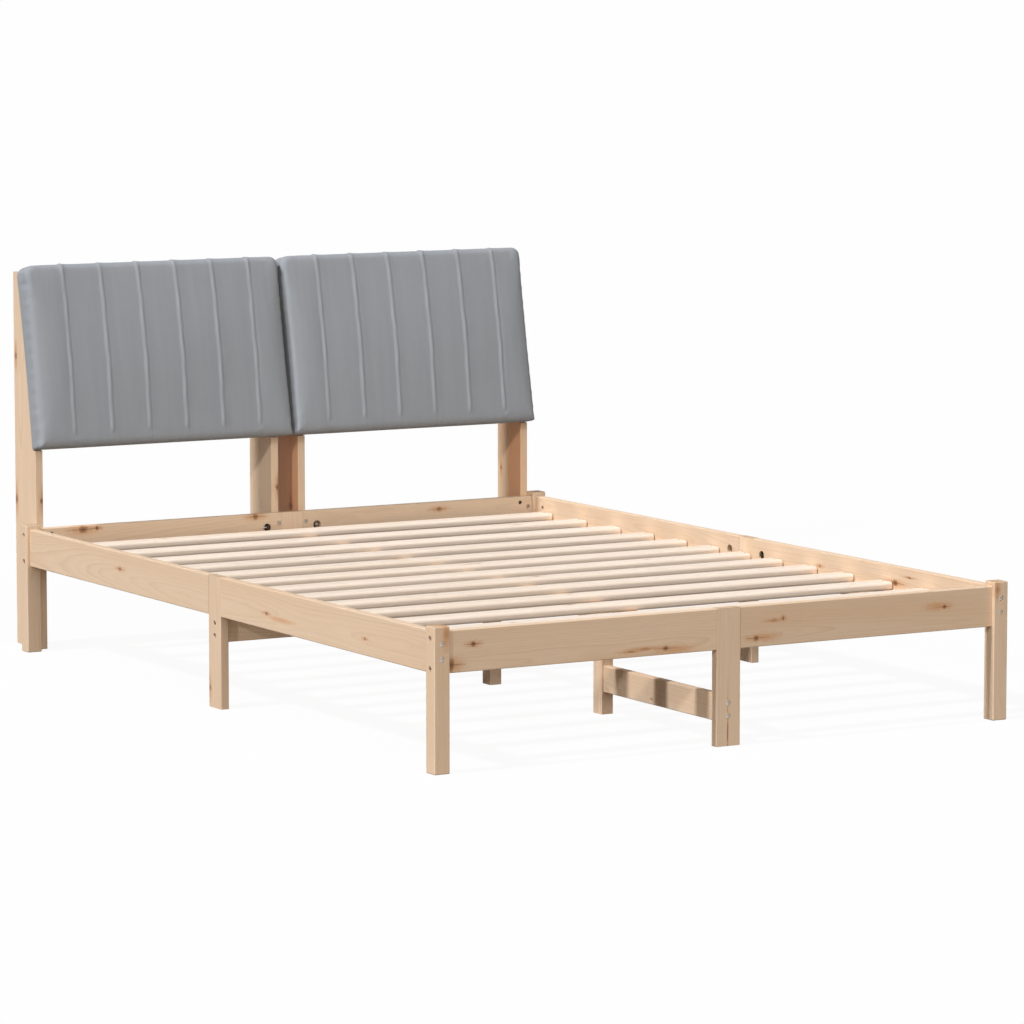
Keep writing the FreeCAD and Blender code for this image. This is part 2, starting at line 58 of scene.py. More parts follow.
# Light: a key from the left, a low lamp from the front left, a broad soft one from the front
# and an even surround
key_direction = (0.64, 0.0, -0.768)
key_strength = 2.7
key_angle = math.radians(5)
key_tint = (1.0, 1.02, 1.06)
low_direction = (0.80, 0.46, -0.38)
low_strength = 0.75
low_angle = math.radians(3)
front_direction = (0.12, 0.86, -0.50)
front_strength = 1.38
front_angle = math.radians(60)
surround_strength = 0.09
surround_tint = (1.0, 0.74, 0.52)
floor_size = 400
floor_roughness = 0.9
floor_seen_shade = (0.80, 0.80, 0.80)
floor_bounce_shade = (0.17, 0.125, 0.085)
floor_shadow_share = 0.06

# Headboard cushions, measured along the uprights' slanted edges
slant_foot_y = 0.97325
slant_foot_z = 0.487
slant_rise_y = 0.081
slant_rise_z = 0.428
seat_clearance = 0.0005
slant_length = math.hypot(slant_rise_y, slant_rise_z)
slant_along = (0.0, slant_rise_y / slant_length, slant_rise_z / slant_length)
slant_out = (0.0, -slant_along[2], slant_along[1])
cushion_height = 0.4461
cushion_half_width = 0.3455
cushion_middle_x = 0.3485
cushion_thickness = 0.0525
cushion_crown = 0.012
cushion_edge = 0.015
edge_steps = 8
cushion_top_corner = 0.024
cushion_foot_corner = 0.006
cushion_pull = 0.0025
pull_power = 8
pucker_depth = 0.0013
pucker_band = 0.014
# Share, waves per metre in radians and shift of each wave of puckers
pucker_waves = ((0.6, 187, 1), (0.4, 331, 2))
side_foot = 0.0015
rim_round = 0.0012
rim_width = 0.0037
pocket_depth = 0.0125
side_steps = 6
grid_step = 0.007

# Sewn tucks
seam_count = 6
seam_pitch = 0.1009
seam_lean = 0.006
lean_calm = 0.05
seam_foot = 0.026
tuck_height = 0.0023
tuck_rise = 0.009
tuck_fall = 0.006
tuck_drop = 0.55
tuck_run = 0.026
tuck_fade = 0.014
tuck_wander = 0.0009
# Share and waves per metre in radians of the tucks' wander
tuck_waves = ((0.6, 38), (0.4, 91))
tuck_swell = 0.18
swell_waves_up = 57
swell_waves_across = 40
tuck_seeds = {"left": 3, "right": 4}
# Columns of points beside a tuck
tuck_columns = (
    -0.0125, -0.0095, -0.0072, -0.0052, -0.0034, -0.0016,
    0.0, 0.0015, 0.0030, 0.0045, 0.0065, 0.0095, 0.0140,
)
stitch_offset = 0.0048

# Cloth: its simulation, what holds it, and how much of its swelling is kept
puff_frames = 20
cloth_settings = {
    "quality": 6,
    "mass": 0.3,
    "tension_stiffness": 30,
    "compression_stiffness": 30,
    "shear_stiffness": 12,
    "bending_stiffness": 3,
    "air_damping": 2,
    "use_pressure": True,
    "uniform_pressure_force": 4.0,
}
held_width = 0.0015
held_depth = 0.001
puff_share = 0.55
puff_cap = 0.012
side_cap = 0.002
tiny = 1e-9

# A shade below is a pair: the weight of a pattern and the level to which it is added. A fade is
# where a smooth step starts and where it is full. A bump is its strength and its depth.

# Upholstery cloth
fabric_grey = (0.320, 0.343, 0.370)
fabric_gloss = 0.2
fabric_sheen = 0.12
sheen_roughness = 0.45
fabric_roughness = (0.12, 0.80)
fabric_bump = (0.3, 0.0003)
thread_pitch = 0.0011
slub_scales = (900.0, 900.0, 260.0)
nap_scales = (70.0, 20.0, 4.0)
cloud_scale = 7.0
slub_shade = (0.16, 0.92)
weave_shade = (0.05, 1.0)
nap_shade = (0.12, 0.94)
cloud_shade = (0.06, 0.97)
weave_height, slub_height, stitch_height = 0.35, 0.8, 0.9
stitch_pitch = 0.0042
stitch_fade = (0.0007, 0.0003)
dash_fade = (-0.75, -0.45)
stitch_darkening = -0.25

# Metal, plywood and beech, each with pairs of colours that a pattern mixes
mottle_scale = 900.0
spangle_scale = 260.0
metal_roughness = (0.22, 0.20)
metal_bump = (0.2, 0.0001)
zinc_colours = ((0.33, 0.285, 0.245), (0.66, 0.60, 0.54))
# Painted shade: near-black colours on the cross nuts stand in for the shade in their recesses
nut_painted_shade_colours = ((0.030, 0.025, 0.020), (0.150, 0.125, 0.105))
ply_thickness = 0.0024
ply_face_colours = ((0.66, 0.49, 0.31), (0.50, 0.34, 0.19))
ply_edge_colours = ((0.58, 0.41, 0.24), (0.38, 0.24, 0.13))
ply_face_fade = (0.5, 0.8)
veneer_scales = (2.2, 60.0, 34.0)
ply_fleck_scales = (60.0, 900.0, 900.0)
ply_fleck_shade = (0.2, 0.9)
ply_roughness = (0.2, 0.5)
beech_colours = ((0.66, 0.47, 0.30), (0.50, 0.31, 0.17))
beech_fleck_scales = (800.0, 90.0, 800.0)
beech_roughness = (0.2, 0.45)

# Pine rings: their width, how they drift and ripple, and late wood's share from one to the next
ring_width = 0.0030
ring_unevenness = 4.0
ring_drift = 0.040
ring_ripple = 0.0035
ring_stops = ((0.0, 0.10), (0.12, 0.0), (0.45, 0.10), (0.80, 0.62), (0.93, 1.0), (1.0, 0.12))
ring_chance = (0.75, 0.25)
uneven_scale = 55.0
late_share = 0.42
warm_share = 0.45
warm_fade = (0.42, 0.78)
streak_share = 0.22
streak_fade = (0.60, 0.82)
fibre_shade = (0.22, 0.89)
pore_shade = (0.10, 0.95)
pine_gloss = 0.35
pine_roughness = (0.16, 0.44)
pine_bump = (0.35, 0.0004)
late_height, fibre_height, rim_height = 0.5, 0.7, -0.5

# Sawn ends: where they begin by the surface's direction, their shade and their roughness
end_fade = (0.6, 0.9)
sawn_shade = (0.12, 0.70)
sawn_green = 0.95
sawn_blue = 0.88
sawn_roughness = 0.2

# Pine noise: scale along the grain and twice across it, and the steps between seeds
drift_scales = (1.3, 8.0, 8.0)
ripple_scales = (9.0, 45.0, 45.0)
fibre_scales = (14.0, 700.0, 700.0)
pore_scales = (70.0, 2400.0, 2400.0)
warm_scales = (1.1, 16.0, 16.0)
streak_scales = (2.6, 95.0, 95.0)
pine_seed_steps = (7.3, 3.1, 5.7)

# Knots: their ragged outline, the shapes and fades of their parts in radii, and colours
ragged_scale = 190.0
ragged_stretch = (1.5, 0.25)
stain_shape = (0.36, 1.0, 1.0)
split_shape = (0.17, 4.2, 4.2)
heart_fade = (1.15, 0.45)
rim_fade = (0.34, 0.0)
split_fade = (1.1, 0.3)
stain_fade = (2.3, 0.3)
bend_fade = (3.4, 0.2)
rim_share = 0.55
split_share = 0.75
knot_bend = 1.3
knot_seed_step = 3.7
knot_seeds = (0, 9)
knot_stain = (0.600, 0.270, 0.090)
knot_hearts = ((0.240, 0.072, 0.020), (0.085, 0.028, 0.010))
knot_rim = (0.060, 0.022, 0.009)
heart_rings = (0.5, 0.25)
stain_strength, heart_strength, rim_strength = 0.60, 0.92, 0.75
heart_roughness = -0.08

# Each board's place in its log and its tone, drawn by chance
board_seed = 11
log_seeds = (0, 50)
pith_side = 0.030
pith_depths = (0.030, 0.085)
grain_lean = math.radians(1.1)
board_tones = (0.96, 1.03)

# Knots by chance on boards that have no seen ones
long_board = 0.5
long_board_knots = (0, 1, 1, 2)
short_board_knots = (0, 0, 1)
spread_along = 0.46
spread_across = 0.4
chance_radii = (0.0020, 0.0045)
chance_lengths = (0.9, 1.8)
chance_darks = (0.2, 0.9)


class Net:
    """Node tree built from calls; a value may be a number, a tuple or another node's socket."""

    def __init__(self, tree):
        self.tree = tree

    def node(self, kind, **settings):
        made = self.tree.nodes.new(kind)
        for name, value in settings.items():
            setattr(made, name, value)
        return made

    def put(self, socket, value):
        if isinstance(value, bpy.types.NodeSocket):
            self.tree.links.new(value, socket)
        else:
            socket.default_value = value

    def math(self, operation, first, second=0.0, third=0.0):
        made = self.node("ShaderNodeMath", operation=operation)
        for socket, value in zip(made.inputs, (first, second, third)):
            self.put(socket, value)
        return made.outputs[0]

    def vector(self, operation, first, second=(0, 0, 0)):
        made = self.node("ShaderNodeVectorMath", operation=operation)
        self.put(made.inputs[0], first)
        self.put(made.inputs[1], second)
        wanted = "Value" if operation in ("LENGTH", "DOT_PRODUCT") else "Vector"
        return made.outputs[wanted]

    def split(self, vector):
        made = self.node("ShaderNodeSeparateXYZ")
        self.put(made.inputs[0], vector)
        return made.outputs

    def join(self, x, y, z):
        made = self.node("ShaderNodeCombineXYZ")
        for socket, value in zip(made.inputs, (x, y, z)):
            self.put(socket, value)
        return made.outputs[0]

    def noise(self, vector, scale=1.0, detail=2.0, rough=0.5, seed=None):
        made = self.node("ShaderNodeTexNoise", noise_dimensions="3D" if seed is None else "4D")
        self.put(made.inputs["Vector"], vector)
        self.put(made.inputs["Scale"], scale)
        self.put(made.inputs["Detail"], detail)
        self.put(made.inputs["Roughness"], rough)
        if seed is not None:
            self.put(made.inputs["W"], seed)
        return made.outputs[0]

    def stretched(self, place, scales, detail=2.0, rough=0.5, seed=None):
        """Noise with its own scale along each axis."""
        return self.noise(self.vector("MULTIPLY", place, scales), 1.0, detail, rough, seed)

    def white(self, value, seed):
        made = self.node("ShaderNodeTexWhiteNoise", noise_dimensions="2D")
        self.put(made.inputs["Vector"], self.join(value, seed, 0.0))
        return made.outputs["Value"]

    def ramp(self, factor, stops):
        """Grey level that runs straight from stop to stop."""
        made = self.node("ShaderNodeValToRGB")
        elements = made.color_ramp.elements
        while len(elements) < len(stops):
            elements.new(1.0)
        for element, (place, level) in zip(elements, stops):
            element.position = place
            element.color = (level, level, level, 1.0)
        self.put(made.inputs[0], factor)
        return made.outputs[0]

    def step(self, value, start, finish):
        """Smooth step from 0 at start to 1 at finish."""
        made = self.node("ShaderNodeMapRange", interpolation_type="SMOOTHSTEP")
        self.put(made.inputs["Value"], value)
        self.put(made.inputs["From Min"], start)
        self.put(made.inputs["From Max"], finish)
        return made.outputs["Result"]

    def mix(self, factor, first, second, blend="MIX"):
        made = self.node("ShaderNodeMix", data_type="RGBA", blend_type=blend)
        self.put(made.inputs["Factor"], factor)
        for socket, value in ((made.inputs["A"], first), (made.inputs["B"], second)):
            self.put(socket, value if isinstance(value, bpy.types.NodeSocket) else (*value, 1.0))
        return made.outputs["Result"]

    def shaded(self, colour, shade):
        """The colour times one level."""
        return self.mix(1.0, colour, self.join(shade, shade, shade), "MULTIPLY")

    def bump(self, shader, height, strength, depth):
        made = self.node("ShaderNodeBump")
        made.inputs["Strength"].default_value = strength
        made.inputs["Distance"].default_value = depth
        self.put(made.inputs["Height"], height)
        self.put(shader.inputs["Normal"], made.outputs[0])

    def seen(self):
        """1 for a ray that shows the surround to the camera, directly or in a gloss, else 0."""
        rays = self.node("ShaderNodeLightPath").outputs
        direct = self.math("MAXIMUM", rays["Is Camera Ray"], rays["Is Glossy Ray"])
        return self.math("MAXIMUM", direct, rays["Is Transmission Ray"])

    def group(self, group, **values):
        made = self.node("ShaderNodeGroup", node_tree=group)
        for name, value in values.items():
            self.put(made.inputs[name], value)
        return made.outputs


def new_group(name, inputs, outputs):
    tree = bpy.data.node_groups.new(name, "ShaderNodeTree")
    for label, kind in inputs:
        tree.interface.new_socket(label, in_out="INPUT", socket_type="NodeSocket" + kind)
    for label, kind in outputs:
        tree.interface.new_socket(label, in_out="OUTPUT", socket_type="NodeSocket" + kind)
    net = Net(tree)
    return net, net.node("NodeGroupInput").outputs, net.node("NodeGroupOutput").inputs


def new_material(name):
    material = bpy.data.materials.new(name)
    material.use_nodes = True
    net = Net(material.node_tree)
    shader = material.node_tree.nodes["Principled BSDF"]
    return material, net, shader


def make_knot_group():
    """One branch through a board: heart, rim with a split along the grain, stain and bent rings."""
    net, given, result = new_group(
        "knot",
        (("Vector", "Vector"), ("Centre", "Vector"), ("Shape", "Vector"), ("Seed", "Float")),
        (("Heart", "Float"), ("Rim", "Float"), ("Halo", "Float"), ("Bend", "Float")),
    )
    offset = net.vector("SUBTRACT", given["Vector"], given["Centre"])
    scaled = net.vector("MULTIPLY", offset, given["Shape"])
    smooth = net.vector("LENGTH", scaled)
    stained = net.vector("LENGTH", net.vector("MULTIPLY", scaled, stain_shape))
    cracked = net.vector("LENGTH", net.vector("MULTIPLY", scaled, split_shape))
    noise = net.noise(given["Vector"], ragged_scale, 4.0, 0.7, given["Seed"])
    ragged = net.math("MULTIPLY_ADD", noise, *ragged_stretch)
    distance = net.math("MULTIPLY", smooth, ragged)
    off_rim = net.math("ABSOLUTE", net.math("SUBTRACT", distance, 1.0))
    rim = net.math("MULTIPLY", net.step(off_rim, *rim_fade), rim_share)
    split = net.step(net.math("MULTIPLY", cracked, ragged), *split_fade)
    net.put(result["Heart"], net.step(distance, *heart_fade))
    net.put(result["Rim"], net.math("MAXIMUM", rim, net.math("MULTIPLY", split, split_share)))
    net.put(result["Halo"], net.step(net.math("MULTIPLY", stained, ragged), *stain_fade))
    net.put(result["Bend"], net.step(smooth, *bend_fade))
    return net.tree


def make_pine_group():
    """Sawn pine as a slice of a log: X runs along the grain and the pith is the X axis."""
    net, given, result = new_group(
        "pine_log",
        (
            ("Vector", "Vector"), ("Seed", "Float"), ("Bend", "Float"), ("Heart", "Float"),
            ("Rim", "Float"), ("Halo", "Float"), ("End", "Float"), ("Early", "Color"),
            ("Late", "Color"), ("Warm", "Color"),
        ),
        (("Color", "Color"), ("Roughness", "Float"), ("Height", "Float")),
    )
    place, seed = given["Vector"], given["Seed"]
    drift_seed, warm_seed, streak_seed = (
        net.math("ADD", seed, step) for step in pine_seed_steps
    )

    # Rings
    drift_y = net.math("SUBTRACT", net.stretched(place, drift_scales, 1.0, 0.5, seed), 0.5)
    drift_z = net.math("SUBTRACT", net.stretched(place, drift_scales, 1.0, 0.5, drift_seed), 0.5)
    ripple = net.math("SUBTRACT", net.stretched(place, ripple_scales, 2.0, 0.5, seed), 0.5)
    _, across, deep = net.split(place)
    across = net.math("MULTIPLY_ADD", drift_y, ring_drift, across)
    deep = net.math("MULTIPLY_ADD", drift_z, ring_drift, deep)
    radius = net.vector("LENGTH", net.join(0.0, across, deep))
    radius = net.math("MULTIPLY_ADD", ripple, ring_ripple, radius)
    radius = net.math("ADD", radius, given["Bend"])
    uneven = net.noise(net.join(radius, 0.0, 0.0), uneven_scale, 1.0, 0.5, seed)
    even = net.math("DIVIDE", radius, ring_width)
    turns = net.math("MULTIPLY_ADD", uneven, ring_unevenness, even)
    chance = net.white(net.math("FLOOR", turns), seed)
    late = net.ramp(net.math("FRACT", turns), ring_stops)
    late = net.math("MULTIPLY", late, net.math("MULTIPLY_ADD", chance, *ring_chance))

    # Colour: rings, warm stain, streaks, fibres, knots and sawn ends
    fibre = net.stretched(place, fibre_scales, 3.0, 0.6, seed)
    pores = net.stretched(place, pore_scales, 1.0, 0.5, seed)
    warm = net.step(net.stretched(place, warm_scales, 2.0, 0.5, warm_seed), *warm_fade)
    streak = net.step(net.stretched(place, streak_scales, 2.0, 0.55, streak_seed), *streak_fade)
    colour = net.mix(net.math("MULTIPLY", late, late_share), given["Early"], given["Late"])
    colour = net.mix(net.math("MULTIPLY", warm, warm_share), colour, given["Warm"])
    colour = net.mix(net.math("MULTIPLY", streak, streak_share), colour, given["Late"])
    grain = net.math("MULTIPLY_ADD", fibre, *fibre_shade)
    grain = net.math("MULTIPLY", grain, net.math("MULTIPLY_ADD", pores, *pore_shade))
    colour = net.shaded(colour, grain)
    colour = net.mix(net.math("MULTIPLY", given["Halo"], stain_strength), colour, knot_stain)
    heart = net.mix(net.math("MULTIPLY_ADD", late, *heart_rings), *knot_hearts)
    colour = net.mix(net.math("MULTIPLY", given["Heart"], heart_strength), colour, heart)
    colour = net.mix(net.math("MULTIPLY", given["Rim"], rim_strength), colour, knot_rim)
    sawn = net.math("MULTIPLY_ADD", pores, *sawn_shade)
    sawn_tint = net.join(
        sawn, net.math("MULTIPLY", sawn, sawn_green), net.math("MULTIPLY", sawn, sawn_blue)
    )
    sawn_colour = net.mix(1.0, colour, sawn_tint, "MULTIPLY")
    net.put(result["Color"], net.mix(given["End"], colour, sawn_colour))

    # Surface
    rough = net.math("MULTIPLY_ADD", fibre, *pine_roughness)
    rough = net.math("MULTIPLY_ADD", given["End"], sawn_roughness, rough)
    rough = net.math("MULTIPLY_ADD", given["Heart"], heart_roughness, rough)
    net.put(result["Roughness"], rough)
    height = net.math("MULTIPLY_ADD", late, late_height, net.math("MULTIPLY", fibre, fibre_height))
    net.put(result["Height"], net.math("MULTIPLY_ADD", given["Rim"], rim_height, height))
    return net.tree


knot_group = make_knot_group()
pine_group = make_pine_group()

# Early wood, late wood and warm stain of each kind of board
board_colours = {
    "pine": ((0.765, 0.580, 0.412), (0.560, 0.350, 0.190), (0.720, 0.480, 0.295)),
    "slat_pine": ((0.880, 0.755, 0.640), (0.730, 0.575, 0.420), (0.840, 0.690, 0.535)),
}
# Boards cut from redder wood
board_tints = {"upright_right": (1.01, 0.94, 0.86)}
# Painted shade: a darker, redder band behind the front edge of two uprights, where the cushions
# shade their sides; how deep it goes and its tint
painted_shade_bands = {
    "upright_centre_right": (0.112, (1.12, 0.84, 0.64)),
    "upright_right": (0.064, (0.92, 0.68, 0.53)),
}
upright_front_y = 0.96425
# Front strip left without the painted shade, and how softly the painted shade band fades
unshaded_front_edge = 0.0016
painted_shade_fade = 0.016

# Seen knots by board: place in the row frame, the axis that the branch runs along, its radius,
# its length along the grain in radii and how dark its heart is
x_way, y_way = 0, 1
seen_knots = {
    "foot_rail_left": (
        ((-0.6297, -1.0738, 0.2678), y_way, 0.0052, 1.0, 1.0),
        ((-0.6830, -1.0738, 0.2270), y_way, 0.0125, 0.6, 0.8),
        ((-0.1584, -1.0738, 0.2237), y_way, 0.0044, 1.5, 0.9),
        ((-0.1380, -1.0738, 0.2206), y_way, 0.0060, 2.0, 0.0),
        ((-0.2454, -1.0738, 0.2224), y_way, 0.0022, 4.0, 0.5),
        ((-0.2106, -1.0738, 0.2262), y_way, 0.0034, 4.0, 0.3),
    ),
    "foot_rail_right": (
        ((0.0701, -1.0738, 0.2293), y_way, 0.0050, 1.3, 0.9),
        ((0.0880, -1.0738, 0.2297), y_way, 0.0060, 1.6, 0.0),
        ((0.1389, -1.0738, 0.2676), y_way, 0.0048, 0.4, 0.8),
        ((0.1155, -1.0738, 0.2643), y_way, 0.0030, 2.4, 0.3),
        ((0.5626, -1.0738, 0.2633), y_way, 0.0042, 1.1, 1.0),
        ((0.5452, -1.0738, 0.2655), y_way, 0.0064, 1.4, 0.0),
    ),
    "side_rail_right_foot": (
        ((0.699, -0.6836, 0.2618), x_way, 0.0062, 1.7, 1.0),
        ((0.699, -0.3753, 0.2664), x_way, 0.0034, 1.2, 0.6),
        ((0.699, -0.7400, 0.2800), x_way, 0.0022, 3.0, 0.8),
    ),
    "side_rail_left_head": (((-0.719, 0.4346, 0.2607), x_way, 0.0042, 1.5, 0.8),),
    "side_rail_left_foot": (
        ((-0.719, -0.3095, 0.2459), x_way, 0.0036, 1.5, 0.9),
        ((-0.719, -0.3800, 0.2387), x_way, 0.0040, 4.0, 0.0),
        ((-0.719, -0.7644, 0.2463), x_way, 0.0032, 1.1, 0.8),
    ),
    "head_rail_left": (
        ((-0.5739, 0.9443, 0.2905), y_way, 0.0085, 1.2, 0.8),
        ((-0.5364, 0.9443, 0.2921), y_way, 0.0050, 0.7, 1.0),
        ((-0.1026, 0.9443, 0.2940), y_way, 0.0070, 1.0, 0.8),
    ),
    "head_rail_right": (((0.4193, 0.9443, 0.2822), y_way, 0.0050, 1.4, 0.7),),
    "upright_left": (
        ((-0.690, 1.0700, 0.7105), x_way, 0.0060, 1.5, 0.8),
        ((-0.690, 1.0740, 0.3596), x_way, 0.0065, 1.6, 0.8),
        ((-0.6732, 0.9642, 0.3643), y_way, 0.0050, 1.4, 0.8),
    ),
    "upright_centre_left": (((-0.0300, 0.9642, 0.3620), y_way, 0.0055, 1.4, 0.8),),
    "upright_centre_right": (((0.0275, 1.0031, 0.3069), x_way, 0.0080, 1.0, 0.8),),
    "upright_right": (((0.670, 1.0643, 0.3641), x_way, 0.0040, 1.3, 0.8),),
    "mid_leg_left": (((-0.719, -0.0291, 0.0444), x_way, 0.0060, 1.3, 0.7),),
    "mid_leg_foot": (((-0.0015, -1.0823, 0.0300), y_way, 0.0012, 18.0, 0.9),),
    "leg_foot_left": (((-0.6986, -1.0823, 0.2936), y_way, 0.0070, 1.2, 0.2),),
    "leg_foot_right": (((0.6989, -1.0823, 0.2922), y_way, 0.0060, 1.0, 0.3),),
}


def board_knots(name, centre, size, order, chance):
    """The board's seen knots, or a few by chance."""
    grain, wide, thin = order
    knots = list(seen_knots.get(name, ()))
    if knots:
        return knots
    counts = long_board_knots if size[grain] > long_board else short_board_knots
    for _ in range(chance.choice(counts)):
        spot = list(centre)
        spot[grain] += chance.uniform(-spread_along, spread_along) * size[grain]
        spot[wide] += chance.uniform(-spread_across, spread_across) * size[wide]
        radius = chance.uniform(*chance_radii)
        length = chance.uniform(*chance_lengths)
        knots.append((spot, thin, radius, length, chance.uniform(*chance_darks)))
    return knots


def with_painted_shade_band(name, net, colour, y):
    """The colour with a darker, redder band of painted shade behind the front edge."""
    reach, painted_shade_tint = painted_shade_bands[name]
    behind = net.math("SUBTRACT", y, upright_front_y)
    band = net.math(
        "MULTIPLY",
        net.step(behind, unshaded_front_edge / 2, unshaded_front_edge),
        net.step(behind, reach + painted_shade_fade, reach - painted_shade_fade),
    )
    return net.mix(band, colour, net.mix(1.0, colour, painted_shade_tint, "MULTIPLY"))


def board_material(name, slot, chance):
    """Pine for one board, with its own log and knots."""
    low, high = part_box(name)
    size = high - low
    centre = (low + high) / 2
    order = sorted(range(3), key=lambda axis: -size[axis])
    grain, wide, thin = order
    material, net, shader = new_material(name + "_wood")
    coordinates = net.node("ShaderNodeTexCoord").outputs
    parts = net.split(net.vector("SUBTRACT", coordinates["Object"], tuple(centre)))
    board = net.join(parts[grain], parts[wide], parts[thin])
    bend, heart, rim, halo = 0.0, 0.0, 0.0, 0.0
    knots = board_knots(name, centre, size, order, chance)
    for number, (spot, way, radius, length, dark) in enumerate(knots):
        shape = [1.0 / radius] * 3
        shape[grain] = 1.0 / (radius * length)
        shape[way] = 0.0
        place = Vector(spot) - centre
        knot = net.group(
            knot_group,
            Vector=board,
            Centre=(place[grain], place[wide], place[thin]),
            Shape=(shape[grain], shape[wide], shape[thin]),
            Seed=number * knot_seed_step + chance.uniform(*knot_seeds),
        )
        bend = net.math("MULTIPLY_ADD", knot["Bend"], radius * knot_bend, bend)
        heart = net.math("MAXIMUM", heart, net.math("MULTIPLY", knot["Heart"], dark))
        rim = net.math("MAXIMUM", rim, net.math("MULTIPLY", knot["Rim"], dark))
        halo = net.math("MAXIMUM", halo, knot["Halo"])
    turn = net.node("ShaderNodeMapping", vector_type="POINT")
    net.put(turn.inputs["Vector"], board)
    pith_y = chance.uniform(-pith_side, pith_side)
    pith_z = chance.choice((-1, 1)) * chance.uniform(*pith_depths)
    turn.inputs["Location"].default_value = (0.0, pith_y, pith_z)
    lean_y = chance.uniform(-grain_lean, grain_lean)
    lean_z = chance.uniform(-grain_lean, grain_lean)
    turn.inputs["Rotation"].default_value = (0.0, lean_y, lean_z)
    grain_axis = [0.0, 0.0, 0.0]
    grain_axis[grain] = 1.0
    along = net.vector("DOT_PRODUCT", coordinates["Normal"], tuple(grain_axis))
    tone = chance.uniform(*board_tones)
    tint = [tone * share for share in board_tints.get(name, white)]
    early, late, warm = (
        [level * share for level, share in zip(colour, tint)] for colour in board_colours[slot]
    )
    wood = net.group(
        pine_group,
        Vector=turn.outputs[0],
        Seed=chance.uniform(*log_seeds),
        Bend=bend,
        Heart=heart,
        Rim=rim,
        Halo=halo,
        End=net.step(net.math("ABSOLUTE", along), *end_fade),
        Early=(*early, 1.0),
        Late=(*late, 1.0),
        Warm=(*warm, 1.0),
    )
    colour = wood["Color"]
    # Painted shade: a darker, redder band on two uprights where the cushions shade them
    if name in painted_shade_bands:
        y = net.split(coordinates["Object"])[1]
        colour = with_painted_shade_band(name, net, colour, y)
    net.put(shader.inputs["Base Color"], colour)
    net.put(shader.inputs["Roughness"], wood["Roughness"])
    shader.inputs["Specular IOR Level"].default_value = pine_gloss
    net.bump(shader, wood["Height"], *pine_bump)
    return material


def metal_material(name, colours):
    """Steel with a fine brushed mottle."""
    material, net, shader = new_material(name)
    place = net.node("ShaderNodeTexCoord").outputs["Object"]
    mottle = net.noise(place, mottle_scale, 3.0, 0.6)
    spangle = net.noise(place, spangle_scale)
    net.put(shader.inputs["Base Color"], net.mix(mottle, *colours))
    net.put(shader.inputs["Roughness"], net.math("MULTIPLY_ADD", spangle, *metal_roughness))
    shader.inputs["Metallic"].default_value = 1.0
    net.bump(shader, mottle, *metal_bump)
    return material


def ply_material():
    """Plywood: veneer figure on the faces and stacked plies on the edges."""
    material, net, shader = new_material("backing_ply_sheet")
    coordinates = net.node("ShaderNodeTexCoord").outputs
    place = coordinates["Object"]
    start = -slant_foot_y * slant_out[1] - slant_foot_z * slant_out[2]
    depth = net.math("ADD", net.vector("DOT_PRODUCT", place, slant_out), start)
    ply = net.math("FLOOR", net.math("DIVIDE", depth, ply_thickness))
    odd = net.math("MODULO", net.math("ABSOLUTE", ply), 2.0)
    figure = net.stretched(place, veneer_scales, 4.0, 0.55)
    flecks = net.stretched(place, ply_fleck_scales)
    face = net.mix(figure, *ply_face_colours)
    face = net.shaded(face, net.math("MULTIPLY_ADD", flecks, *ply_fleck_shade))
    edge = net.mix(odd, *ply_edge_colours)
    out = net.math("ABSOLUTE", net.vector("DOT_PRODUCT", coordinates["Normal"], slant_out))
    net.put(shader.inputs["Base Color"], net.mix(net.step(out, *ply_face_fade), edge, face))
    net.put(shader.inputs["Roughness"], net.math("MULTIPLY_ADD", flecks, *ply_roughness))
    return material


def dowel_material():
    """Pale beech with short flecks along the dowel."""
    material, net, shader = new_material("dowel_beech_wood")
    place = net.node("ShaderNodeTexCoord").outputs["Object"]
    flecks = net.stretched(place, beech_fleck_scales)
    net.put(shader.inputs["Base Color"], net.mix(flecks, *beech_colours))
    net.put(shader.inputs["Roughness"], net.math("MULTIPLY_ADD", flecks, *beech_roughness))
    return material


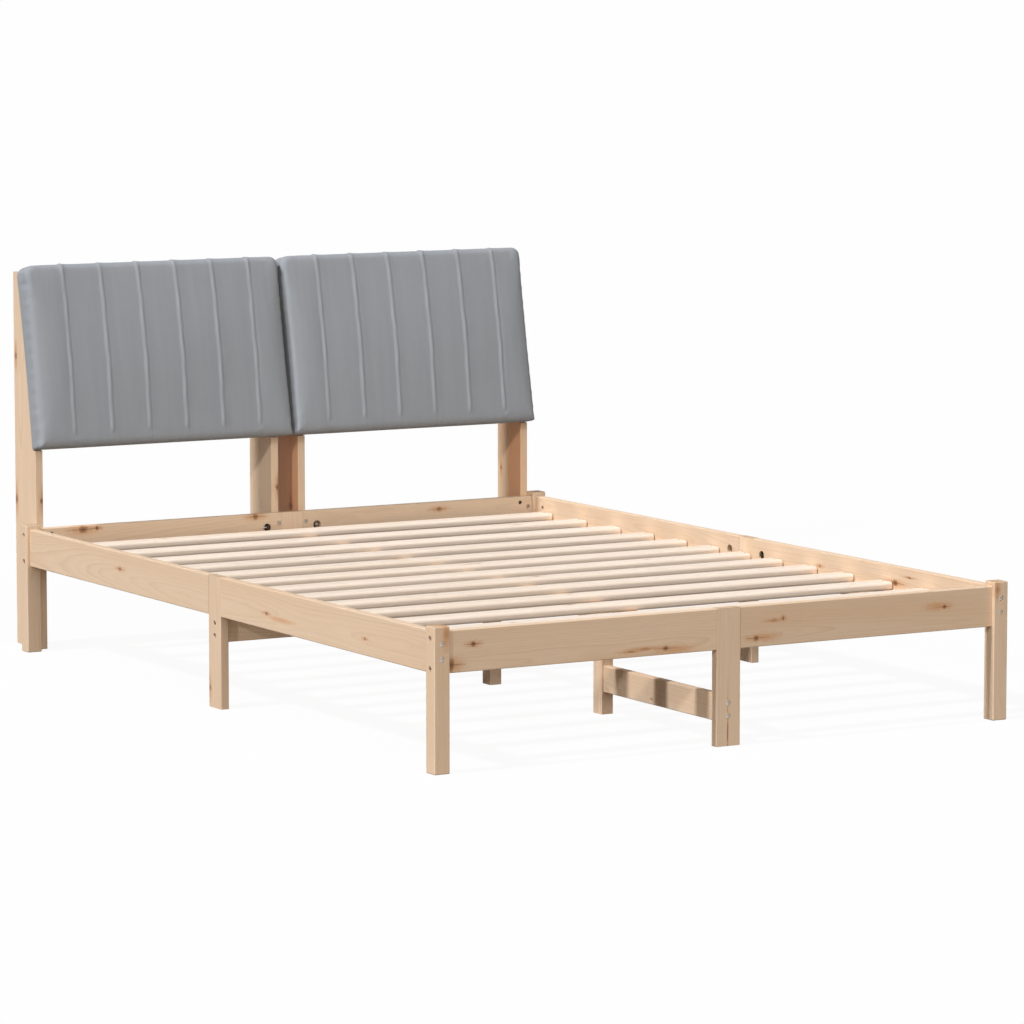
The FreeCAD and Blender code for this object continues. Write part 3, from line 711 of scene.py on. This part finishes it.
def fabric_material():
    """Smooth grey upholstery: a fine plain weave, a faint nap and stitches beside the tucks."""
    material, net, shader = new_material("grey_upholstery")
    turn = net.node("ShaderNodeMapping", vector_type="POINT")
    net.put(turn.inputs["Vector"], net.node("ShaderNodeTexCoord").outputs["Object"])
    turn.inputs["Rotation"].default_value = (math.atan2(slant_rise_y, slant_rise_z), 0.0, 0.0)
    place = turn.outputs[0]
    across, _, up = net.split(place)
    thread = math.tau / thread_pitch
    warp = net.math("SINE", net.math("MULTIPLY", across, thread))
    weft = net.math("SINE", net.math("MULTIPLY", up, thread))
    weave = net.math("MULTIPLY", warp, weft)
    slub = net.stretched(place, slub_scales, 2.0, 0.6)
    nap = net.stretched(place, nap_scales, 3.0, 0.55)
    cloud = net.noise(place, cloud_scale)
    shade = net.math("MULTIPLY_ADD", slub, *slub_shade)
    for pattern, levels in ((weave, weave_shade), (nap, nap_shade), (cloud, cloud_shade)):
        shade = net.math("MULTIPLY", shade, net.math("MULTIPLY_ADD", pattern, *levels))
    seam = net.node("ShaderNodeAttribute", attribute_name="seam_side").outputs["Fac"]
    off_line = net.math("ABSOLUTE", net.math("SUBTRACT", seam, stitch_offset))
    along_line = net.math("SINE", net.math("MULTIPLY", up, math.tau / stitch_pitch))
    dash = net.step(along_line, *dash_fade)
    stitch = net.math("MULTIPLY", net.step(off_line, *stitch_fade), dash)
    stitched = net.math("MULTIPLY", stitch, shade)
    shade = net.math("MULTIPLY_ADD", stitched, stitch_darkening, shade)
    net.put(shader.inputs["Base Color"], net.shaded(fabric_grey, shade))
    net.put(shader.inputs["Roughness"], net.math("MULTIPLY_ADD", slub, *fabric_roughness))
    shader.inputs["Specular IOR Level"].default_value = fabric_gloss
    shader.inputs["Sheen Weight"].default_value = fabric_sheen
    shader.inputs["Sheen Roughness"].default_value = sheen_roughness
    height = net.math("MULTIPLY_ADD", weave, weave_height, net.math("MULTIPLY", slub, slub_height))
    height = net.math("ADD", height, net.math("MULTIPLY", stitch, stitch_height))
    net.bump(shader, height, *fabric_bump)
    return material


def dress_cad():
    """Give every carried-over CAD node its material."""
    chance = random.Random(board_seed)
    nut_painted_shade_metal = metal_material("nut_steel_painted_shade", nut_painted_shade_colours)
    shared = {
        "zinc_steel": metal_material("zinc_plate", zinc_colours),
        "backing_ply": ply_material(),
        "dowel_beech": dowel_material(),
    }
    for name in sorted(nodes):
        mesh = nodes[name].data
        slot = mesh.materials[0].name.split(".")[0]
        if slot in board_colours:
            mesh.materials[0] = board_material(name, slot, chance)
        elif slot in shared:
            # The cross nuts get the near-black metal that paints the shade of their recesses
            mesh.materials[0] = nut_painted_shade_metal if name == "cross_nuts" else shared[slot]


def edge_stops():
    """Distances from a cushion's edge at which its rolled edge is cut."""
    turns = [math.pi / 2 * step / edge_steps for step in range(edge_steps)]
    return [cushion_edge * (1 - math.cos(turn)) for turn in turns]


def fill(start, finish):
    """Even stops from start up to but not including finish."""
    count = max(1, round((finish - start) / grid_step))
    return [start + (finish - start) * step / count for step in range(count)]


def seam_places():
    return [(number - (seam_count - 1) / 2) * seam_pitch for number in range(seam_count)]


def column_stops():
    """Columns across a cushion, close together at its edges and at the tucks."""
    left = [-cushion_half_width + stop for stop in edge_stops()]
    stops = list(left)
    start = -cushion_half_width + cushion_edge
    for seam in seam_places():
        stops += fill(start, seam + tuck_columns[0])
        stops += [seam + offset for offset in tuck_columns[:-1]]
        start = seam + tuck_columns[-1]
    stops += fill(start, cushion_half_width - cushion_edge)
    stops.append(cushion_half_width - cushion_edge)
    stops += [-stop for stop in reversed(left)]
    return np.array(stops)


def row_stops():
    """Rows up a cushion, close together at its rolled edges."""
    low = edge_stops()
    stops = low + fill(cushion_edge, cushion_height - cushion_edge)
    stops.append(cushion_height - cushion_edge)
    stops += [cushion_height - stop for stop in reversed(low)]
    return np.array(stops)


def rounded_plan(x, up, half, tall):
    """Round the corners of a rectangle's points, and give each point's distance from the edge."""
    middle = tall / 2
    corner = np.where(up > middle, cushion_top_corner, cushion_foot_corner)
    over_x = np.clip((np.abs(x) - (half - corner)) / corner, 0, 1)
    over_up = np.clip((np.abs(up - middle) - (middle - corner)) / corner, 0, 1)
    both = (over_x > 0) & (over_up > 0)
    round_x = np.where(both, over_x * np.sqrt(1 - over_up ** 2 / 2), over_x)
    round_up = np.where(both, over_up * np.sqrt(1 - over_x ** 2 / 2), over_up)
    new_x = np.where(over_x > 0, np.sign(x) * (half - corner + corner * round_x), x)
    beyond = np.sign(up - middle) * (middle - corner + corner * round_up)
    new_up = np.where(over_up > 0, middle + beyond, up)
    reach_x = np.abs(new_x) - (half - corner)
    reach_up = np.abs(new_up - middle) - (middle - corner)
    outside = np.hypot(np.maximum(reach_x, 0), np.maximum(reach_up, 0))
    inside = np.minimum(np.maximum(reach_x, reach_up), 0)
    return new_x, new_up, np.maximum(corner - outside - inside, 0)


def puckers(x, up):
    """How far the cover bulges out sideways between the gathers along a cushion's two sides."""
    side = np.sign(x)
    wave = sum(share * np.sin(up * rate + shift * side) for share, rate, shift in pucker_waves)
    near_side = np.clip(1 - (cushion_half_width - np.abs(x)) / pucker_band, 0, 1)
    return side * pucker_depth * wave * near_side * near_side


def seam_lines(up):
    """How far the tucks lean across at each height."""
    return seam_lean * up / cushion_height


def cushion_points():
    """Closed cushion: front with rolled edges, sides, rim and the floor of the board's pocket."""
    half = cushion_half_width
    columns, rows = column_stops(), row_stops()
    grid_x, grid_up = np.meshgrid(columns, rows, indexing="ij")
    swell_up = np.sin(np.pi * np.clip(grid_up / cushion_height, 0, 1))
    swell_x = np.sin(np.pi * np.clip((grid_x + half) / (2 * half), 0, 1))
    x, up, inset = rounded_plan(grid_x, grid_up, half, cushion_height)
    calm = np.clip((half - np.abs(x)) / lean_calm, 0, 1)
    x = x + seam_lines(up) * calm * calm * (3 - 2 * calm)
    x = x - np.sign(x) * cushion_pull * swell_up * np.clip(np.abs(x) / half, 0, 1) ** pull_power
    roll = np.minimum(inset, cushion_edge)
    thick = cushion_thickness + cushion_crown * swell_up * np.sqrt(np.clip(swell_x, 0, 1))
    rolled = np.sqrt(np.maximum(cushion_edge ** 2 - (cushion_edge - roll) ** 2, 0))
    out = thick - cushion_edge + rolled
    across, tall = len(columns), len(rows)
    border = [(column, 0) for column in range(across)]
    border += [(across - 1, row) for row in range(1, tall)]
    border += [(column, tall - 1) for column in range(across - 2, -1, -1)]
    border += [(0, row) for row in range(tall - 2, 0, -1)]
    index = np.arange(across * tall).reshape(across, tall)
    bulge = puckers(x, up)
    points = [np.stack([x + bulge, up, out], axis=-1).reshape(-1, 3)]
    faces = []
    for column in range(across - 1):
        for row in range(tall - 1):
            near, far = index[column], index[column + 1]
            faces.append((near[row], far[row], far[row + 1], near[row + 1]))
    ring = np.array([index[place] for place in border])
    edge = np.stack([x, up, out], axis=-1).reshape(-1, 3)[ring]
    edge_bulge = bulge.reshape(-1)[ring]
    count = across * tall
    middle = np.array([0.0, cushion_height / 2])
    span = np.array([cushion_half_width, cushion_height / 2])

    def loop(shrink, outs, bulge_share):
        """Next ring of the border, drawn in by a distance and set at its own height."""
        nonlocal count, ring
        scale = 1 - shrink / span
        plan = middle + (edge[:, :2] - middle) * scale
        plan[:, 0] += edge_bulge * bulge_share
        points.append(np.column_stack([plan, outs]))
        fresh = np.arange(count, count + len(border))
        for place in range(len(border)):
            after = (place + 1) % len(border)
            faces.append((ring[place], fresh[place], fresh[after], ring[after]))
        count += len(border)
        ring = fresh

    for step in range(1, side_steps + 1):
        back = step / side_steps
        loop(0.0, edge[:, 2] * (1 - back) + side_foot * back, 1 - back)
    loop(rim_round, np.zeros(len(border)), 0.0)
    loop(rim_width, np.zeros(len(border)), 0.0)
    loop(rim_width, np.full(len(border), pocket_depth), 0.0)
    floor_scale = 1 - 2 * rim_width / span
    floor = middle + (points[0][:, :2] - middle) * floor_scale
    points.append(np.column_stack([floor, np.full(len(floor), pocket_depth)]))
    inner = index + count
    inner_ring = np.array([inner[place] for place in border])
    for place in range(len(border)):
        after = (place + 1) % len(border)
        faces.append((ring[place], inner_ring[place], inner_ring[after], ring[after]))
    for column in range(across - 1):
        for row in range(tall - 1):
            near, far = inner[column], inner[column + 1]
            faces.append((near[row], near[row + 1], far[row + 1], far[row]))
    return np.concatenate(points), faces, across * tall


def slant_frame(middle_x):
    """A cushion's origin, the way up the slant and the way out of it."""
    along, out = np.array(slant_along), np.array(slant_out)
    return np.array([middle_x, slant_foot_y, slant_foot_z]) + along * seat_clearance, along, out


def to_row_frame(points, middle_x):
    """Cushion coordinates (across, up the slant, out of it) to the row frame."""
    start, along, out = slant_frame(middle_x)
    across = np.array([1.0, 0.0, 0.0])
    return start + points[:, :1] * across + points[:, 1:2] * along + points[:, 2:] * out


def from_row_frame(points, middle_x):
    """Row frame to cushion coordinates."""
    start, along, out = slant_frame(middle_x)
    offset = points - start
    return np.column_stack([offset[:, 0], offset @ along, offset @ out])


def read_points(mesh):
    flat = np.zeros(len(mesh.vertices) * 3, np.float32)
    mesh.vertices.foreach_get("co", flat)
    return flat.reshape(-1, 3).astype(float)


def write_points(mesh, points):
    mesh.vertices.foreach_set("co", points.astype(np.float32).ravel())
    mesh.update()


def puff(cushion, held):
    """Blow the cover up a little with cloth pressure and give the points that it reaches."""
    group = cushion.vertex_groups.new(name="held")
    group.add([int(place) for place in held], 1.0, "REPLACE")
    cloth = cushion.modifiers.new("puff", "CLOTH")
    cloth.settings.vertex_group_mass = "held"
    for name, value in cloth_settings.items():
        setattr(cloth.settings, name, value)
    cloth.settings.effector_weights.gravity = 0
    cloth.collision_settings.use_collision = False
    cloth.point_cache.frame_start = 1
    cloth.point_cache.frame_end = puff_frames
    for number in range(1, puff_frames + 1):
        scene.frame_set(number)
    shaped = cushion.evaluated_get(bpy.context.evaluated_depsgraph_get())
    points = read_points(shaped.data)
    cushion.modifiers.remove(cloth)
    cushion.vertex_groups.remove(group)
    scene.frame_set(1)
    return points


def seam_offset(points):
    """Signed distance of each point from its nearest tuck, to the right of it."""
    offsets = np.stack([points[:, 0] - seam - seam_lines(points[:, 1]) for seam in seam_places()])
    nearest = np.argmin(np.abs(offsets), axis=0)
    return offsets[nearest, np.arange(len(points))]


def ease(share):
    """Smooth step of shares that run from 0 to 1."""
    return share * share * (3 - 2 * share)


def tuck_profile(side):
    """Height across a tuck as a share: a slope up, a short fall on its right and a long run-out."""
    left = ease(np.clip(1 + side / tuck_rise, 0, 1))
    fall = ease(np.clip(side / tuck_fall, 0, 1))
    run = ease(np.clip((side - tuck_fall / 2) / tuck_run, 0, 1))
    return np.where(side < 0, left, 1 - tuck_drop * fall - (1 - tuck_drop) * run)


def sew_tucks(points, start, front_count, seed):
    """Raise the tucks on the front, and give each point's distance from its tuck."""
    side = seam_offset(start)
    up = start[:, 1]
    phases = np.random.default_rng(seed).uniform(0, math.tau, 3)
    waves = [np.sin(up * rate + phase) * share for (share, rate), phase in zip(tuck_waves, phases)]
    wander = tuck_wander * sum(waves)
    turn = up * swell_waves_up + phases[2] + start[:, 0] * swell_waves_across
    lively = 1 + tuck_swell * np.sin(turn)
    on = ease(np.clip((up - seam_foot) / tuck_fade, 0, 1))
    on[front_count:] = 0
    lift = tuck_height * lively * tuck_profile(side - wander) * on
    roll = np.clip((cushion_height - up) / cushion_edge, 0, 1)
    direction = np.column_stack([np.zeros(len(up)), 1 - roll, roll])
    direction /= np.linalg.norm(direction, axis=1, keepdims=True)
    return points + direction * lift[:, None], side


def make_cushion(side_name, side_sign, material):
    """Fabric cover of one cushion: puffed up as cloth, sewn and put in its CAD node's place."""
    middle_x = side_sign * cushion_middle_x
    start, faces, front_count = cushion_points()
    mesh = bpy.data.meshes.new("cushion_cover_" + side_name)
    mesh.from_pydata(to_row_frame(start, middle_x).tolist(), [], faces)
    cushion = bpy.data.objects.new("cushion_cover_" + side_name, mesh)
    scene.collection.objects.link(cushion)
    shaped = start.copy()
    side = np.abs(seam_offset(start))
    order = np.arange(len(start))
    sewn = (side < held_width) & (start[:, 1] > seam_foot) & (order < front_count)
    behind = (start[:, 2] < pocket_depth + held_depth) & (order >= front_count)
    held = np.nonzero(sewn | behind)[0]
    shaped = from_row_frame(puff(cushion, held), middle_x)
    moved = (shaped - start) * puff_share
    far = np.linalg.norm(moved, axis=1, keepdims=True)
    moved *= np.minimum(1, puff_cap / np.maximum(far, tiny))
    moved[:, 0] = np.clip(moved[:, 0], -side_cap, side_cap)
    points, seam_side = sew_tucks(start + moved, start, front_count, tuck_seeds[side_name])
    write_points(mesh, to_row_frame(points, middle_x))
    stored = mesh.attributes.new("seam_side", "FLOAT", "POINT")
    stored.data.foreach_set("value", seam_side.astype(np.float32))
    mesh.polygons.foreach_set("use_smooth", [True] * len(mesh.polygons))
    mesh.materials.append(material)
    finer = cushion.modifiers.new("finer", "SUBSURF")
    finer.levels = 1
    finer.render_levels = 1
    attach(cushion, "root")
    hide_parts("cushion_" + side_name)


def make_stage():
    """Pale floor that shows white to the camera and keeps a faint shadow."""
    half = floor_size / 2
    mesh = bpy.data.meshes.new("floor")
    corners = [(-half, -half, 0), (half, -half, 0), (half, half, 0), (-half, half, 0)]
    mesh.from_pydata(corners, [], [(0, 1, 2, 3)])
    floor = bpy.data.objects.new("floor", mesh)
    scene.collection.objects.link(floor)
    material, net, shader = new_material("floor_paint")
    shader.inputs["Roughness"].default_value = floor_roughness
    shader.inputs["Specular IOR Level"].default_value = 0.0
    seen = net.seen()
    net.put(shader.inputs["Base Color"], net.mix(seen, floor_bounce_shade, floor_seen_shade))
    glow = net.node("ShaderNodeEmission")
    glow.inputs["Color"].default_value = (*white, 1.0)
    glow.inputs["Strength"].default_value = 1.0
    blend = net.node("ShaderNodeMixShader")
    net.put(blend.inputs[0], net.math("MULTIPLY", seen, 1 - floor_shadow_share))
    net.put(blend.inputs[1], shader.outputs[0])
    net.put(blend.inputs[2], glow.outputs[0])
    output = material.node_tree.nodes["Material Output"]
    net.put(output.inputs["Surface"], blend.outputs[0])
    mesh.materials.append(material)


def make_light():
    """Three lamps and a dim warm surround that the camera sees as white."""
    lamps = (
        ("key", key_direction, key_strength, key_angle, key_tint),
        ("low", low_direction, low_strength, low_angle, white),
        ("front", front_direction, front_strength, front_angle, white),
    )
    for name, direction, strength, angle, tint in lamps:
        light = bpy.data.lights.new(name, "SUN")
        light.color = tint
        light.energy = strength
        light.angle = angle
        lamp = bpy.data.objects.new(name, light)
        lamp.rotation_mode = "QUATERNION"
        lamp.rotation_quaternion = Vector(direction).to_track_quat("-Z", "Y")
        scene.collection.objects.link(lamp)
    world = bpy.data.worlds.new("surround")
    world.use_nodes = True
    net = Net(world.node_tree)
    seen = net.seen()
    background = world.node_tree.nodes["Background"]
    net.put(background.inputs["Color"], net.mix(seen, surround_tint, white))
    strength = net.math("MULTIPLY_ADD", seen, 1 - surround_strength, surround_strength)
    net.put(background.inputs["Strength"], strength)
    scene.world = world


def make_camera():
    """Camera at the photograph's viewing angle."""
    data = bpy.data.cameras.new("camera")
    data.lens = camera_lens
    data.sensor_width = camera_sensor
    data.clip_end = camera_reach
    camera = bpy.data.objects.new("camera", data)
    camera.location = camera_place
    level = math.cos(camera_pitch)
    right, forward = math.sin(camera_yaw) * level, math.cos(camera_yaw) * level
    ahead = Vector((right, forward, -math.sin(camera_pitch)))
    camera.rotation_mode = "QUATERNION"
    camera.rotation_quaternion = ahead.to_track_quat("-Z", "Y")
    scene.collection.objects.link(camera)
    scene.camera = camera
    scene.view_settings.view_transform = "Standard"


dress_cad()
fabric = fabric_material()
make_cushion("left", -1, fabric)
make_cushion("right", 1, fabric)
make_stage()
make_light()
make_camera()
